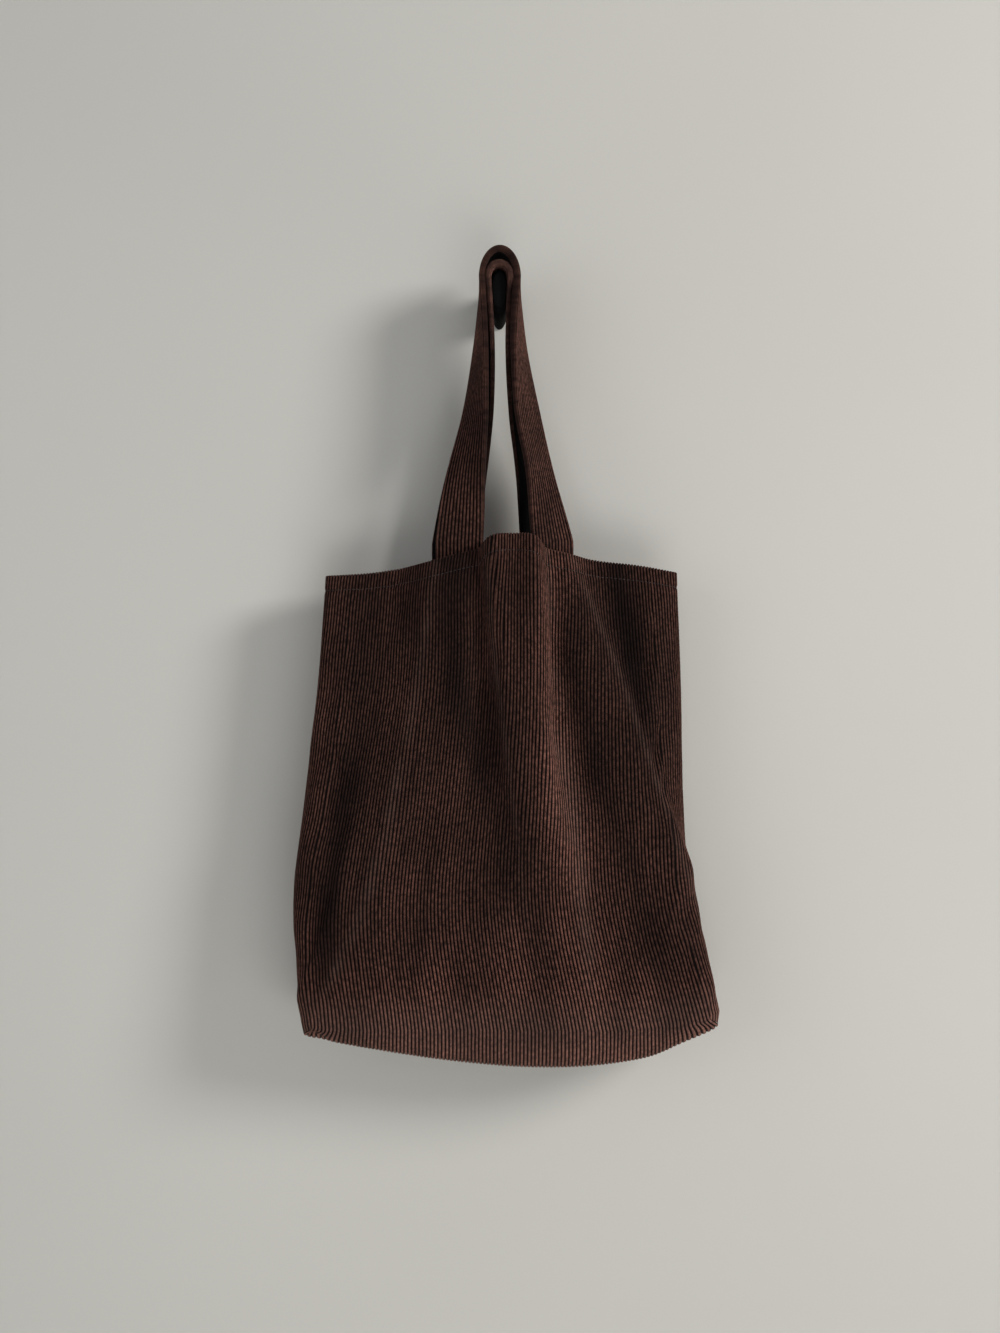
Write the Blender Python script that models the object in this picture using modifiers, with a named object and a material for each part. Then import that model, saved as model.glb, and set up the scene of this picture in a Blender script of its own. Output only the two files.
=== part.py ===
"""A corduroy tote bag that hangs by its two handles.

Metres, +Z up. The origin is the point where a hook holds the inner handle. The front of the bag faces -Y.
Each piece of cloth is an open surface lofted from sections, which a Solidify modifier gives its thickness.
The two handles swing down about their hinge lines at the mouth, each with an empty on its line as a parent.
"""

import math

import bpy
import numpy as np

# Body, as it hangs. A track is a list of values at even steps down the wall, mouth first.
BASE_LENGTH = 0.335
BASE_DEPTH = 0.075
BASE_LEFT_X = -0.156
BASE_CURL = 0.006
MOUTH_Z = -0.247
BASE_CORNER_Z = -0.602
BASE_RIGHT_LIFT = 0.008
BASE_LIFT_WIDTH = 0.060
BASE_SAG = 0.034
BASE_END_SAG = 0.010
BASE_SAG_LEAN = 0.20
LEFT_EDGE = (-0.139, -0.145, -0.156, -0.165, BASE_LEFT_X)
BASE_RIGHT_X = BASE_LEFT_X + BASE_LENGTH - BASE_CURL
RIGHT_EDGE = tuple(BASE_RIGHT_X - in_by for in_by in (0.032, 0.0285, 0.027, 0.0205, 0.0))
FRONT_DEPTH = (0.015, 0.024, 0.032, 0.037, BASE_DEPTH / 2)
BACK_DEPTH = (0.027, 0.030, 0.033, 0.036, BASE_DEPTH / 2)
ROUNDNESS = (4.0, 3.4, 3.2, 4.0, 7.0)
MOUTH_RISE = 0.023
MOUTH_RISE_X = 0.010
MOUTH_RISE_SPREAD = 0.075
RIGHT_RISE = 0.0045
RIGHT_RISE_X = 0.110
RIGHT_RISE_SPREAD = 0.035
PLEAT_LIFT = 0.009

# Folds of the hanging cloth: tracks of where each runs, how far it stands out, half its width, its flatness.
LEFT_RIDGE = {
    "x": (-0.035, -0.058, -0.084, -0.112, -0.140),
    "rise": (0.017, 0.014, 0.010, 0.006, 0.000),
    "half": (0.034, 0.034, 0.032, 0.030, 0.028),
    "flat": (4.0, 2.8, 2.2, 2.0, 2.0),
}
PLEAT = {
    "x": (0.0098, 0.016, 0.027, 0.044, 0.062),
    "rise": (0.022, 0.017, 0.012, 0.006, 0.000),
    "half": (0.0225, 0.021, 0.018, 0.022, 0.026),
    "flat": (7.0, 6.0, 4.5, 3.0, 2.0),
}
RIGHT_RIDGE = {
    "x": (0.041, 0.074, 0.108, 0.136, 0.150),
    "rise": (0.016, 0.013, 0.010, 0.006, 0.000),
    "half": (0.024, 0.026, 0.026, 0.026, 0.026),
    "flat": (2.4, 2.2, 2.0, 2.0, 2.0),
}
BACK_DIP = {
    "x": (0.002, 0.000, -0.004, -0.006, -0.008),
    "rise": (-0.008, -0.006, -0.003, -0.001, 0.000),
    "half": (0.014, 0.018, 0.026, 0.034, 0.040),
    "flat": (4.0, 3.0, 2.0, 2.0, 2.0),
}
FRONT_FOLDS = (LEFT_RIDGE, PLEAT, RIGHT_RIDGE)
BACK_FOLDS = (BACK_DIP,)

# Cloth and how close pieces lie
SHELL_THICKNESS = 0.0022
LINING_THICKNESS = 0.0010
CLEARANCE = 0.0004
LINING_SLACK = 0.0035
LINING_FOLD_SHARE = 0.6
LINING_DROP = 0.001
SEAM_GAP = 0.0008

# Handles
STRAP_WIDTH = 0.038
STRAP_THICKNESS = 0.0028
BACKING_THICKNESS = 0.0010
STRAP_WHOLE = STRAP_THICKNESS + CLEARANCE + BACKING_THICKNESS
NEST_GAP = STRAP_WIDTH / 38
REAR_LEFT_X = -0.0096
TAIL_TRIALS = 9
TAIL_DEPTH = 0.026
TAIL_EASE = 0.0008
TAIL_RISE = 0.0035
TAIL_TOP_Z = MOUTH_Z + MOUTH_RISE + TAIL_RISE
TAIL_GAP = 0.0006
FRONT_HANDLE = {
    "left_x": (-0.0320, -0.0275, -0.0200, -0.0162, REAR_LEFT_X - STRAP_WHOLE - NEST_GAP),
    "right_x": (0.0415, 0.0325, 0.0220, 0.0160, 0.0146),
    "left_twist": (6.0, 36.0, 60.0, 76.0, 90.0),
    "right_twist": (30.0, 55.0, 60.0, 75.0, 90.0),
    "spring_z": -0.010,
    "top_z": 0.0138,
    "side": -1,
    "hinge_y": -0.041,
    "hinge_z": TAIL_TOP_Z + 0.0035,
}
REAR_HANDLE = {
    "left_x": (-0.0370, -0.0280, -0.0172, -0.0112, REAR_LEFT_X),
    "right_x": (0.0360, 0.0290, 0.0182, 0.0102, 0.0084),
    "left_twist": (6.0, 30.0, 54.0, 73.0, 90.0),
    "right_twist": (6.0, 36.0, 57.0, 77.0, 90.0),
    "spring_z": -0.008,
    "top_z": STRAP_WHOLE / 2,
    "side": 1,
    "hinge_y": 0.031,
    "hinge_z": TAIL_TOP_Z + 0.0025,
}

# Stitching
HEM_DEPTH = 0.012
STITCH_WIDTH = 0.0010
STITCH_THICKNESS = 0.0006
TACK_HEIGHT = 0.012
TACK_MARGIN = 0.004

# How finely the surfaces are drawn
WALL_ROWS = 9
BASE_ROWS = 3
OUTER_COLUMNS = 7
MIDDLE_COLUMNS = 16
MIDDLE_SHARE = 0.36
SIDE_CROWDING = 1.6
SECTION_STEPS = 600
LEG_ROWS = 11
ARCH_ROWS = 12

CORDUROY = {"colour": (0.030, 0.0145, 0.0115, 1.0), "roughness": 0.95}
BLACK_COTTON = {"colour": (0.006, 0.005, 0.005, 1.0), "roughness": 0.9}
BROWN_THREAD = {"colour": (0.020, 0.010, 0.008, 1.0), "roughness": 0.7}

LINING_GAP = (SHELL_THICKNESS + LINING_THICKNESS) / 2 + CLEARANCE + LINING_SLACK
SHELL = {
    "mouth_inset": 0.0,
    "base_inset": 0.0,
    "fold_share": 1.0,
    "drop": 0.0,
    "thickness": SHELL_THICKNESS,
    "look": CORDUROY,
}
LINING = {
    "mouth_inset": LINING_GAP + STRAP_WHOLE + STITCH_THICKNESS + 2 * CLEARANCE + TAIL_EASE,
    "base_inset": LINING_GAP,
    "fold_share": LINING_FOLD_SHARE,
    "drop": LINING_DROP,
    "thickness": LINING_THICKNESS,
    "look": BLACK_COTTON,
}


def track(values, t):
    """The smooth value at t, from 0 at the first of evenly spaced values to 1 at the last."""
    values = np.asarray(values, float)
    padded = np.concatenate([[2 * values[0] - values[1]], values, [2 * values[-1] - values[-2]]])
    place = np.clip(t, 0.0, 1.0) * (len(values) - 1)
    index = np.minimum(np.asarray(place).astype(int), len(values) - 2)
    part = place - index
    before, start, end, after = (padded[index + step] for step in range(4))
    bend = 2 * before - 5 * start + 4 * end - after
    twist = 3 * (start - end) + after - before
    return start + part * ((end - before) + part * (bend + part * twist)) / 2


def section(side, t, inset, fold_share=1.0):
    """Points of one half of the bag's outline, seam to seam, at the height t, moved inwards by inset."""
    angle = np.linspace(0.0, math.pi, SECTION_STEPS)
    left = track(LEFT_EDGE, t) + inset
    right = track(RIGHT_EDGE, t) - inset
    power = 2 / track(ROUNDNESS, t)
    depth = track(FRONT_DEPTH if side < 0 else BACK_DEPTH, t) - inset
    across = np.sign(np.cos(angle)) * np.abs(np.cos(angle)) ** power
    x = (left + right) / 2 - (right - left) / 2 * across
    out = depth * np.abs(np.sin(angle)) ** power
    for fold in FRONT_FOLDS if side < 0 else BACK_FOLDS:
        half = track(fold["half"], t) - inset * np.sign(track(fold["rise"], t))
        far = np.abs((x - track(fold["x"], t)) / half)
        out += fold_share * track(fold["rise"], t) * np.exp(-(far ** track(fold["flat"], t)))
    y = side * (out + SEAM_GAP / 2)
    return x, y


def column_places():
    """The share of the outline at which each column of a panel stands: one is at each end of the base."""
    corner = BASE_DEPTH / 2 / (BASE_LENGTH + BASE_DEPTH)
    side = corner * np.linspace(0.0, 1.0, BASE_ROWS + 1) ** SIDE_CROWDING
    outer = np.linspace(corner, 0.5 - MIDDLE_SHARE / 2, OUTER_COLUMNS + 1)
    middle = np.linspace(outer[-1], 1 - outer[-1], MIDDLE_COLUMNS + 1)
    return np.concatenate([side, outer[1:], middle[1:], 1 - outer[-2::-1], 1 - side[-2::-1]])


def along(points, places):
    """Points at these shares of a line's length."""
    steps = np.linalg.norm(np.diff(points, axis=0), axis=1)
    travelled = np.concatenate([[0.0], np.cumsum(steps)])
    return np.column_stack([np.interp(places * travelled[-1], travelled, points[:, axis]) for axis in (0, 1)])


def mouth_z(x):
    """The height of the mouth's edge: the handles lift its middle, and the pleat stands a little above it."""
    lift = MOUTH_RISE * np.exp(-(((x - MOUTH_RISE_X) / MOUTH_RISE_SPREAD) ** 2))
    lift = lift + RIGHT_RISE * np.exp(-(((x - RIGHT_RISE_X) / RIGHT_RISE_SPREAD) ** 2))
    pleat = PLEAT
    far = np.abs((x - pleat["x"][0]) / pleat["half"][0])
    return MOUTH_Z + lift + PLEAT_LIFT * np.exp(-(far ** pleat["flat"][0]))


def base_z(x):
    """The height of the base's edge, which is pulled up a little at its right corner."""
    part = np.clip(1 - (RIGHT_EDGE[-1] - x) / BASE_LIFT_WIDTH, 0.0, 1.0)
    return BASE_CORNER_Z + BASE_RIGHT_LIFT * part * part * (3 - 2 * part)


def wall_row(side, t, inset, fold_share, places):
    """One row of a panel's wall, at the share t of the way from the mouth to the base."""
    flat = along(np.column_stack(section(side, t, inset, fold_share)), places)
    top = mouth_z(flat[:, 0])
    return np.column_stack([flat, top + (base_z(flat[:, 0]) + inset - top) * t])


def panel_surface(side, layer):
    """The wall's rows of points, and the rows that turn under the base to its middle seam."""
    places = column_places()
    wall_length = MOUTH_Z - BASE_CORNER_Z
    rows = np.linspace(HEM_DEPTH / wall_length, 1.0, WALL_ROWS)
    rows = np.insert(rows, 0, layer["drop"] / wall_length)
    insets = layer["mouth_inset"] + (layer["base_inset"] - layer["mouth_inset"]) * rows
    share = layer["fold_share"]
    wall = np.array([wall_row(side, t, inset, share, places) for t, inset in zip(rows, insets)])
    bottom = wall[-1]
    seam_y = side * SEAM_GAP / 2
    out = (bottom[:, 1] - seam_y) / (bottom[BASE_ROWS, 1] - seam_y)
    drop = np.sqrt(np.clip(1 - out**2, 0.0, 1.0))
    for end in (slice(0, BASE_ROWS), slice(-BASE_ROWS, None)):
        bottom[end, 2] -= BASE_END_SAG * drop[end]
    inner = bottom[BASE_ROWS:-BASE_ROWS]
    spread = np.linspace(-1.0, 1.0, len(inner))
    from_lowest = spread - BASE_SAG_LEAN * (1 - spread**2)
    sag = BASE_END_SAG + (BASE_SAG - BASE_END_SAG) * (1 - from_lowest**2)
    base = []
    for k in range(1, BASE_ROWS + 1):
        row = inner.copy()
        row[:, 1] = seam_y + (inner[:, 1] - seam_y) * out[BASE_ROWS - k]
        row[:, 2] = inner[:, 2] - sag * drop[BASE_ROWS - k]
        row[0] = bottom[BASE_ROWS - k]
        row[-1] = bottom[len(bottom) - 1 - BASE_ROWS + k]
        base.append(row)
    return wall, np.array(base)


def numbered(rows, columns, first=0):
    return np.arange(rows * columns).reshape(rows, columns) + first


def quads(grid):
    """A face for each cell of a grid of point numbers."""
    corners = grid[:-1, :-1], grid[1:, :-1], grid[1:, 1:], grid[:-1, 1:]
    return np.stack(corners, axis=-1).reshape(-1, 4).tolist()


def material(name, look):
    made = bpy.data.materials.new(name)
    made.use_nodes = True
    shader = made.node_tree.nodes["Principled BSDF"]
    shader.inputs["Base Color"].default_value = look["colour"]
    shader.inputs["Roughness"].default_value = look["roughness"]
    shader.inputs["Metallic"].default_value = 0.0
    made.diffuse_color = look["colour"]
    return made


def cloth(name, points, faces, thickness, look, collection, offset=0.0):
    """A piece of cloth: a surface with a thickness, its faces turned out."""
    mesh = bpy.data.meshes.new(name)
    mesh.from_pydata([tuple(point) for point in points], [], faces)
    mesh.materials.append(material(name, look))
    piece = bpy.data.objects.new(name, mesh)
    collection.objects.link(piece)
    thick = piece.modifiers.new("thickness", "SOLIDIFY")
    thick.thickness = thickness
    thick.offset = offset
    thick.use_even_offset = True
    return piece


def body_cloth(name, side, layer, collection):
    """A panel of the body, from the mouth down, round the box corners and under the base."""
    wall, base = panel_surface(side, layer)
    rows, columns = wall.shape[:2]
    wall_numbers = numbered(rows, columns)
    base_numbers = numbered(BASE_ROWS, columns - 2 * BASE_ROWS, rows * columns)
    for k in range(BASE_ROWS):
        base_numbers[k, 0] = wall_numbers[-1, BASE_ROWS - 1 - k]
        base_numbers[k, -1] = wall_numbers[-1, columns - BASE_ROWS + k]
    joined = np.vstack([wall_numbers[-1:, BASE_ROWS:-BASE_ROWS], base_numbers])
    points = np.concatenate([wall.reshape(-1, 3), base.reshape(-1, 3)])
    faces = quads(wall_numbers) + quads(joined)
    if side > 0:
        faces = [face[::-1] for face in faces]
    used = sorted({number for face in faces for number in face})
    renumber = {old: new for new, old in enumerate(used)}
    faces = [[renumber[number] for number in face] for face in faces]
    return cloth(name, points[used], faces, layer["thickness"], layer["look"], collection)


def hem_stitch(name, side, collection):
    """The row of stitches that holds the turned hem, lying on the outside of a panel."""
    wall_length = MOUTH_Z - BASE_CORNER_Z
    depths = (HEM_DEPTH - STITCH_WIDTH / 2, HEM_DEPTH + STITCH_WIDTH / 2)
    rows = np.array([wall_row(side, depth / wall_length, 0.0, 1.0, column_places()) for depth in depths])
    away = np.cross(np.gradient(rows, axis=1), np.gradient(rows, axis=0))
    away *= side / np.linalg.norm(away, axis=2, keepdims=True)
    rows = (rows + away * ((SHELL_THICKNESS + STITCH_THICKNESS) / 2 + CLEARANCE))[:, 1:-1]
    faces = quads(numbered(2, rows.shape[1]))
    return cloth(name, rows.reshape(-1, 3), faces, STITCH_THICKNESS, BROWN_THREAD, collection)


def tail_y(handle, end):
    """Where a strap's end lies in the mouth: against the inside of the panel all across its width."""
    side = handle["side"]
    twist = math.radians(handle[end + "_twist"][0])
    lean = math.tan(twist) * (-1 if end == "left" else 1)
    across = np.linspace(-0.5, 0.5, TAIL_TRIALS) * STRAP_WIDTH * math.cos(twist)
    room = []
    for t in (0.0, TAIL_DEPTH / (MOUTH_Z - BASE_CORNER_Z)):
        x, y = section(side, t, 0.0)
        room.append(side * (np.interp(handle[end + "_x"][0] + across, x, y) - lean * across))
    return side * (np.min(room) - SHELL_THICKNESS / 2 - TAIL_EASE - STRAP_WHOLE / 2 / math.cos(twist))


def leg_line(handle, end):
    """The middle line of one leg of a handle, from the mouth up to where the arch springs."""
    leg = np.linspace(0.0, 1.0, LEG_ROWS)
    foot_z = TAIL_TOP_Z + TAIL_GAP / 2
    leg_z = foot_z + (handle["spring_z"] - foot_z) * leg
    return np.column_stack([track(handle[end + "_x"], leg), tail_y(handle, end) * (1 - leg), leg_z])


def handle_line(handle):
    """The middle line of a strap from its left end over the hook to its right end, with its twist."""
    leg = np.linspace(0.0, 1.0, LEG_ROWS)
    left, right = leg_line(handle, "left"), leg_line(handle, "right")
    middle_x = (left[-1, 0] + right[-1, 0]) / 2
    radius_x = (right[-1, 0] - left[-1, 0]) / 2
    rise = handle["top_z"] - handle["spring_z"]
    turn = np.linspace(math.pi, 0.0, ARCH_ROWS + 1)[1:-1]
    arch_z = handle["spring_z"] + rise * np.sin(turn)
    arch = np.column_stack([middle_x + radius_x * np.cos(turn), np.zeros(len(turn)), arch_z])
    twists = [
        track(handle["left_twist"], leg),
        np.full(len(turn), 90.0),
        180.0 - track(handle["right_twist"], leg)[::-1],
    ]
    return np.vstack([left, arch, right[::-1]]), np.radians(np.concatenate(twists))


def strap_frame(line, twist):
    """Unit vectors at each point of a strap: across it, towards its near edge, and out of its outer side."""
    tangent = np.gradient(line, axis=0)
    tangent /= np.linalg.norm(tangent, axis=1, keepdims=True)
    tangent[0] = (0.0, 0.0, 1.0)
    tangent[-1] = (0.0, 0.0, -1.0)
    across = np.column_stack([np.cos(twist), -np.sin(twist), np.zeros(len(twist))])
    across -= tangent * (across * tangent).sum(axis=1, keepdims=True)
    across /= np.linalg.norm(across, axis=1, keepdims=True)
    return across, np.cross(across, tangent)


def ribbon(name, line, across, out, shift, thickness, look, collection):
    """A flat strap along a line, moved out of the line by shift."""
    middle = line + out * shift
    rows = np.stack([middle - across * STRAP_WIDTH / 2, middle + across * STRAP_WIDTH / 2], axis=1)
    return cloth(name, rows.reshape(-1, 3), quads(numbered(len(line), 2)), thickness, look, collection)


def handle(name, sizes, collection):
    """A handle: a corduroy strip on the side that faces out of the bag, and a black backing sewn to it."""
    line, twist = handle_line(sizes)
    across, out = strap_frame(line, twist)
    hinge = bpy.data.objects.new(name + "_hinge", None)
    hinge.location = (0.0, sizes["hinge_y"], sizes["hinge_z"])
    collection.objects.link(hinge)
    line = line - np.array(hinge.location)
    for layer, shift, thickness, look in (
        ("_strap", STRAP_THICKNESS - STRAP_WHOLE, STRAP_THICKNESS, CORDUROY),
        ("_backing", STRAP_WHOLE - BACKING_THICKNESS, BACKING_THICKNESS, BLACK_COTTON),
    ):
        made = ribbon(name + layer, line, across, out, sizes["side"] * shift / 2, thickness, look, collection)
        made.parent = hinge
    for end in ("left", "right"):
        strap_end(name, sizes, end, collection)


def strap_end(name, sizes, end, collection):
    """The end of a strap inside the mouth, and the tack sewn through its inner side."""
    twist = math.radians(sizes[end + "_twist"][0])
    hand = 1 if end == "left" else -1
    near = np.array([math.cos(twist) * hand, -math.sin(twist), 0.0])
    out = np.array([near[1], -near[0], 0.0]) * hand
    top = np.array([sizes[end + "_x"][0], tail_y(sizes, end), TAIL_TOP_Z - TAIL_GAP / 2])
    down = np.array([0.0, 0.0, -1.0])
    tail = np.array([top, top + down * TAIL_DEPTH])
    tack_end = top + down * (TAIL_DEPTH - TACK_MARGIN)
    tack = np.array([tack_end - down * TACK_HEIGHT, tack_end])
    across = np.array([near, near])
    outward = np.array([out, out])
    inside = sizes["side"] * (STRAP_WHOLE / 2 + CLEARANCE + STITCH_THICKNESS / 2)
    ribbon(name + "_tail_" + end, tail, across, outward, 0.0, STRAP_WHOLE, CORDUROY, collection)
    narrow = across * (STRAP_WIDTH - 2 * TACK_MARGIN) / STRAP_WIDTH
    ribbon(name + "_tack_" + end, tack, narrow, outward, inside, STITCH_THICKNESS, BLACK_COTTON, collection)


def clear_scene():
    for thing in list(bpy.data.objects):
        bpy.data.objects.remove(thing)


def main():
    clear_scene()
    collection = bpy.data.collections.new("corduroy_tote_bag")
    bpy.context.scene.collection.children.link(collection)
    for name, side in (("front", -1), ("back", 1)):
        body_cloth(name + "_panel", side, SHELL, collection)
        body_cloth(name + "_lining", side, LINING, collection)
        hem_stitch(name + "_hem_stitch", side, collection)
    handle("front_handle", FRONT_HANDLE, collection)
    handle("rear_handle", REAR_HANDLE, collection)


main()
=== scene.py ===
"""The look of a corduroy tote bag that hangs by its two handles.

Metres, +Z up, the front of the bag faces -Y and the origin is where a hook holds the inner handle.
Each panel is a lofted shell with its wales in the mesh. A cloth simulation then lets it sag.
"""

import math

import bpy
import numpy as np
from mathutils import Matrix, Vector


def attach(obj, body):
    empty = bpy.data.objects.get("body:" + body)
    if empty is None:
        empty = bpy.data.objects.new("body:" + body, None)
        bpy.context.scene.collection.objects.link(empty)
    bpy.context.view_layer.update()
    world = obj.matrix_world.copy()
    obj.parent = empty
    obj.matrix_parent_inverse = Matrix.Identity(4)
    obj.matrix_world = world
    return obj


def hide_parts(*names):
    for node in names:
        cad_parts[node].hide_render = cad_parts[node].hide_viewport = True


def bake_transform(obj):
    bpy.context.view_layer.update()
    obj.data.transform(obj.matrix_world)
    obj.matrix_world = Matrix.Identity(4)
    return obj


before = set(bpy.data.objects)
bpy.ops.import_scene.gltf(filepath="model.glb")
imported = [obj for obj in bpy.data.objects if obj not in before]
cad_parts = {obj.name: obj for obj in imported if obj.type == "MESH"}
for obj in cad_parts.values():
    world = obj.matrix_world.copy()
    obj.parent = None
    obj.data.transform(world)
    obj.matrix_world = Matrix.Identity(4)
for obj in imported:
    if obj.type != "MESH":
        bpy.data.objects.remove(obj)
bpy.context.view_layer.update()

# Body, as it hangs. A track is a list of values at even steps down the wall, mouth first.
BASE_LENGTH = 0.335
BASE_DEPTH = 0.075
BASE_LEFT_X = -0.156
BASE_CURL = 0.006
MOUTH_Z = -0.247
BASE_CORNER_Z = -0.602
BASE_RIGHT_LIFT = 0.008
BASE_LIFT_WIDTH = 0.060
BASE_SAG = 0.034
BASE_END_SAG = 0.010
BASE_SAG_LEAN = 0.20
LEFT_EDGE = (-0.139, -0.145, -0.156, -0.165, BASE_LEFT_X)
BASE_RIGHT_X = BASE_LEFT_X + BASE_LENGTH - BASE_CURL
RIGHT_EDGE = tuple(BASE_RIGHT_X - in_by for in_by in (0.032, 0.0285, 0.027, 0.0205, 0.0))
FRONT_DEPTH = (0.015, 0.024, 0.032, 0.037, BASE_DEPTH / 2)
BACK_DEPTH = (0.027, 0.030, 0.033, 0.036, BASE_DEPTH / 2)
ROUNDNESS = (4.0, 3.4, 3.2, 4.0, 7.0)
MOUTH_RISE = 0.023
MOUTH_RISE_X = 0.010
MOUTH_RISE_SPREAD = 0.075
RIGHT_RISE = 0.0045
RIGHT_RISE_X = 0.110
RIGHT_RISE_SPREAD = 0.035
PLEAT_LIFT = 0.009
LEFT_RIDGE = {
    "x": (-0.035, -0.058, -0.084, -0.112, -0.140),
    "rise": (0.017, 0.014, 0.010, 0.006, 0.000),
    "half": (0.034, 0.034, 0.032, 0.030, 0.028),
    "flat": (4.0, 2.8, 2.2, 2.0, 2.0),
}
PLEAT = {
    "x": (0.0098, 0.016, 0.027, 0.044, 0.062),
    "rise": (0.022, 0.017, 0.012, 0.006, 0.000),
    "half": (0.0225, 0.021, 0.018, 0.022, 0.026),
    "flat": (7.0, 6.0, 4.5, 3.0, 2.0),
}
RIGHT_RIDGE = {
    "x": (0.041, 0.074, 0.108, 0.136, 0.150),
    "rise": (0.016, 0.013, 0.010, 0.006, 0.000),
    "half": (0.024, 0.026, 0.026, 0.026, 0.026),
    "flat": (2.4, 2.2, 2.0, 2.0, 2.0),
}
BACK_DIP = {
    "x": (0.002, 0.000, -0.004, -0.006, -0.008),
    "rise": (-0.008, -0.006, -0.003, -0.001, 0.000),
    "half": (0.014, 0.018, 0.026, 0.034, 0.040),
    "flat": (4.0, 3.0, 2.0, 2.0, 2.0),
}
FRONT_FOLDS = (LEFT_RIDGE, PLEAT, RIGHT_RIDGE)
BACK_FOLDS = (BACK_DIP,)

# Cloth
SHELL_THICKNESS = 0.0022
LINING_THICKNESS = 0.0010
CLEARANCE = 0.0004
SEAM_GAP = 0.0008
HEM_DEPTH = 0.012

# Handles
STRAP_WIDTH = 0.038
STRAP_THICKNESS = 0.0028
BACKING_THICKNESS = 0.0010
STRAP_WHOLE = STRAP_THICKNESS + CLEARANCE + BACKING_THICKNESS
NEST_GAP = STRAP_WIDTH / 38
REAR_LEFT_X = -0.0096
TAIL_DEPTH = 0.026
TAIL_EASE = 0.0008
TAIL_RISE = 0.0035
TAIL_TOP_Z = MOUTH_Z + MOUTH_RISE + TAIL_RISE
FRONT_HANDLE = {
    "left_x": (-0.0320, -0.0275, -0.0200, -0.0162, REAR_LEFT_X - STRAP_WHOLE - NEST_GAP),
    "right_x": (0.0415, 0.0325, 0.0220, 0.0160, 0.0146),
    "left_twist": (6.0, 36.0, 60.0, 76.0, 90.0),
    "right_twist": (30.0, 55.0, 60.0, 75.0, 90.0),
    "spring_z": -0.010,
    "top_z": 0.0138,
    "nest": (0.0007, 0.0018),
    "loop_rise": 0.0,
    "tape_margin": 0.0030,
    "side": -1,
}
REAR_HANDLE = {
    "left_x": (-0.0370, -0.0280, -0.0172, -0.0112, REAR_LEFT_X),
    "right_x": (0.0360, 0.0290, 0.0182, 0.0102, 0.0084),
    "left_twist": (6.0, 30.0, 54.0, 73.0, 90.0),
    "right_twist": (6.0, 36.0, 57.0, 77.0, 90.0),
    "spring_z": -0.008,
    "top_z": STRAP_WHOLE / 2,
    "nest": (0.0, 0.0),
    "loop_rise": 0.0006,
    "tape_margin": 0.0010,
    "side": 1,
}

# Wales: how many cross each part, where the columns of one wale stand and how deep each is below the crest
SIDE_WALES = 12
BASE_WALES = 107
PANEL_WALES = BASE_WALES + 2 * SIDE_WALES
WALE_PITCH = BASE_LENGTH / BASE_WALES
WALE_DEPTH = 0.0013
WALE_COLUMNS = ((0.0, 1.0), (0.17, 0.30), (0.38, 0.0), (0.62, 0.0), (0.83, 0.30))
WALL_ROWS = 104
BASE_ROWS = 16
CREST_HEIGHT = SHELL_THICKNESS / 2 + 0.2 * WALE_DEPTH
LIP_RADIUS = 0.0013
LIP_RUN = 0.014
BASE_RUN = 0.055
SEAM_ROLL = 0.0016
HEM_DENT = 0.0006
HEM_DENT_WIDTH = 0.0012
HEM_ROW = 6

# Small dents and ripples of handled cloth: how deep and how long
DENT_DEPTH = 0.0009
DENT_LENGTH = 0.055
RIPPLE_DEPTH = 0.0004
RIPPLE_LENGTH = 0.020

# How far the cloth moves when it is let hang
CLOTH_EASE = 0.012
SAG_CAP = 0.004
SAG_FRAMES = 16

# Lining
LINING_INSET = 0.0070
LINING_FOLD_SHARE = 0.6
LINING_RIPPLE = 0.0012
LINING_RIPPLE_LENGTH = 0.05
TAIL_ROOM = 0.0022
TAIL_ROOM_FADE = 0.012
LINING_COLUMNS = 132
LINING_ROWS = 44

# Straps
STRAP_WALES = 13
STRAP_WALE_DEPTH = 0.0013
# Painted light on the straps' corduroy: an even level on their faces, and painted shade on their folded edges
STRAP_PAINTED_LIGHT = 0.48
EDGE_PAINTED_SHADE = 0.15
TAPE_GAP = 0.0003
STRAP_SEAM_DENT = 0.0005
STRAP_SEAM_WIDTH = 0.2
NEST_HEIGHTS = (-0.10, -0.03)
NEST_HALF_WIDTH = 0.010
LOOP_RISE_HEIGHTS = (-0.05, -0.004)
LEG_ROWS = 84
ARCH_ROWS = 44
TAIL_ROWS = 9

# Thread
THREAD_WIDTH = 0.0005
STITCH_LENGTH = 0.0026
STITCH_SPACE = 0.0009
TACK_HEIGHT = 0.012
TACK_MARGIN = 0.004

# Picture
PICTURE_HEIGHT = 1.0664
PICTURE_MIDDLE_Z = -0.3192
PICTURE_PLANE_Y = -0.010
CAMERA_DISTANCE = 1.15
WALL_Y = 0.056
FLOOR_Z = -1.25
PEG_WIDTH = 0.0134
PEG_HEIGHT = 0.032
PEG_END_Y = -0.012
PEG_X = -0.0006
PEG_TOP_Z = -0.0024

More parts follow.
